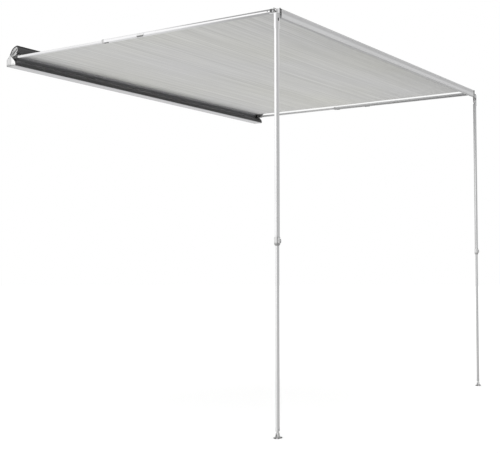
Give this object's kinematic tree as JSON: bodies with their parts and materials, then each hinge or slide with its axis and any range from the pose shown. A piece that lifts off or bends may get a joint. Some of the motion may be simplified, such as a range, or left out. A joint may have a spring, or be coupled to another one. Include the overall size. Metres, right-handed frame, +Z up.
{
  "type": "vehicle side awning",
  "caption": "Pull-out shade awning: dark case with a cloth roller for a vehicle side, stretched grey cloth, telescopic rafters and a lead rail on folding telescopic legs.",
  "frame": {"origin": "middle of the case's flat back face, where it lies against the vehicle", "axes": "+X along the case towards its right end, +Y into the vehicle (the cloth runs out towards -Y), +Z up"},
  "size_m": [2.712, 1.9355, 2.1657],
  "materials": {
    "anthracite": "satin powder coat on an aluminium extrusion",
    "silver": "satin anodised, fine lines along the extrusion",
    "cap_silver": "satin silver paint",
    "cap_grey": "light grey moulded plastic, fine grain",
    "cast_grey": "die cast, bead blasted",
    "steel": "zinc plated",
    "dark_plastic": "dark moulded plastic, fine grain",
    "light_plastic": "light grey moulded plastic",
    "seal_rubber": "matt black rubber",
    "cloth": "light grey coated awning cloth with fine irregular streaks parallel to the case"
  },
  "bodies": {
    "case": {"case_body": "anthracite", "hood_back": "anthracite", "hood_shell": "anthracite", "front_fascia": "anthracite", "mouth_seal": "seal_rubber", "underside_trim": "silver", "canopy_cloth": "cloth", "lower_end_cap_left": "cap_silver", "lower_end_cap_right": "cap_silver", "upper_end_cap_left": "cap_grey", "upper_end_cap_right": "cap_grey", "cap_inlay_left": "dark_plastic", "cap_inlay_right": "dark_plastic", "roller_bearing_left": "cast_grey", "roller_bearing_right": "cast_grey", "rafter_bracket_left": "cast_grey", "rafter_bracket_right": "cast_grey", "rafter_pin_left": "steel", "rafter_pin_right": "steel"},
    "roller": {"roller_tube": "steel", "cloth_roll": "cloth", "roller_plug_left": "dark_plastic", "roller_plug_right": "dark_plastic"},
    "rail": {"lead_rail": "silver", "cloth_bead": "cloth", "rail_end_cap_left": "dark_plastic", "rail_end_cap_right": "dark_plastic", "leg_bracket_left": "cast_grey", "leg_bracket_right": "cast_grey", "leg_pin_left": "steel", "leg_pin_right": "steel"},
    "rafter_left": {"rafter_knuckle_left": "cast_grey", "rafter_inner_left": "silver"},
    "rafter_slider_left": {"rafter_outer_left": "silver", "rafter_collar_left": "dark_plastic", "rafter_tip_left": "cast_grey"},
    "rafter_lever_left": {"rafter_lock_left": "dark_plastic"},
    "leg_left": {"leg_head_left": "cast_grey", "leg_upper_left": "silver", "leg_collar_left": "light_plastic"},
    "leg_lever_left": {"leg_lock_left": "light_plastic"},
    "leg_slider_left": {"leg_lower_left": "silver", "leg_stem_left": "cast_grey", "foot_pin_left": "steel"},
    "foot_left": {"foot_plate_left": "cast_grey"},
    "rafter_right": {"rafter_knuckle_right": "cast_grey", "rafter_inner_right": "silver"},
    "rafter_slider_right": {"rafter_outer_right": "silver", "rafter_collar_right": "dark_plastic", "rafter_tip_right": "cast_grey"},
    "rafter_lever_right": {"rafter_lock_right": "dark_plastic"},
    "leg_right": {"leg_head_right": "cast_grey", "leg_upper_right": "silver", "leg_collar_right": "light_plastic"},
    "leg_lever_right": {"leg_lock_right": "light_plastic"},
    "leg_slider_right": {"leg_lower_right": "silver", "leg_stem_right": "cast_grey", "foot_pin_right": "steel"},
    "foot_right": {"foot_plate_right": "cast_grey"}
  },
  "joints": [
    {"name": "rail_slide", "type": "slide", "parent": "case", "child": "rail", "axis": [0, -1, 0], "range_m": [-1.792, 0], "deforming": ["canopy_cloth"]},
    {"name": "roller_spin", "type": "hinge", "parent": "case", "child": "roller", "pos_m": [0, -0.066, 0.064], "axis": [1, 0, 0], "continuous": true},
    {"name": "rafter_swing_left", "type": "hinge", "parent": "case", "child": "rafter_left", "pos_m": [-1.334, -0.045, 0.031], "axis": [0, 0, -1], "range_deg": [-90, 0]},
    {"name": "rafter_extend_left", "type": "slide", "parent": "rafter_left", "child": "rafter_slider_left", "axis": [0, -1, 0], "range_m": [-0.69, 0]},
    {"name": "rafter_lock_left", "type": "hinge", "parent": "rafter_slider_left", "child": "rafter_lever_left", "pos_m": [-1.3499, -1.0286, 0.028], "axis": [0, 0, -1], "range_deg": [0, 75]},
    {"name": "leg_fold_left", "type": "hinge", "parent": "rail", "child": "leg_left", "pos_m": [-1.334, -1.921, -0.0305], "axis": [0, 1, 0], "range_deg": [-90, 0]},
    {"name": "leg_extend_left", "type": "slide", "parent": "leg_left", "child": "leg_slider_left", "axis": [0, 0, -1], "range_m": [-0.88, 0.12]},
    {"name": "leg_lock_left", "type": "hinge", "parent": "leg_left", "child": "leg_lever_left", "pos_m": [-1.334, -1.9319, -1.0955], "axis": [-1, 0, 0], "range_deg": [0, 70]},
    {"name": "foot_tilt_left", "type": "hinge", "parent": "leg_slider_left", "child": "foot_left", "pos_m": [-1.334, -1.921, -2.0465], "axis": [0, -1, 0], "range_deg": [-30, 30]},
    {"name": "rafter_swing_right", "type": "hinge", "parent": "case", "child": "rafter_right", "pos_m": [1.334, -0.045, 0.031], "axis": [0, 0, 1], "range_deg": [-90, 0]},
    {"name": "rafter_extend_right", "type": "slide", "parent": "rafter_right", "child": "rafter_slider_right", "axis": [0, -1, 0], "range_m": [-0.69, 0]},
    {"name": "rafter_lock_right", "type": "hinge", "parent": "rafter_slider_right", "child": "rafter_lever_right", "pos_m": [1.3499, -1.0286, 0.028], "axis": [0, 0, 1], "range_deg": [0, 75]},
    {"name": "leg_fold_right", "type": "hinge", "parent": "rail", "child": "leg_right", "pos_m": [1.334, -1.921, -0.0305], "axis": [0, -1, 0], "range_deg": [-90, 0]},
    {"name": "leg_extend_right", "type": "slide", "parent": "leg_right", "child": "leg_slider_right", "axis": [0, 0, -1], "range_m": [-0.88, 0.12]},
    {"name": "leg_lock_right", "type": "hinge", "parent": "leg_right", "child": "leg_lever_right", "pos_m": [1.334, -1.9319, -1.0955], "axis": [-1, 0, 0], "range_deg": [0, 70]},
    {"name": "foot_tilt_right", "type": "hinge", "parent": "leg_slider_right", "child": "foot_right", "pos_m": [1.334, -1.921, -2.0465], "axis": [0, -1, 0], "range_deg": [-30, 30]}
  ],
  "couplings": [
    {"joint": "roller_spin", "follows": "rail_slide", "rad_per_m": -54.645}
  ]
}
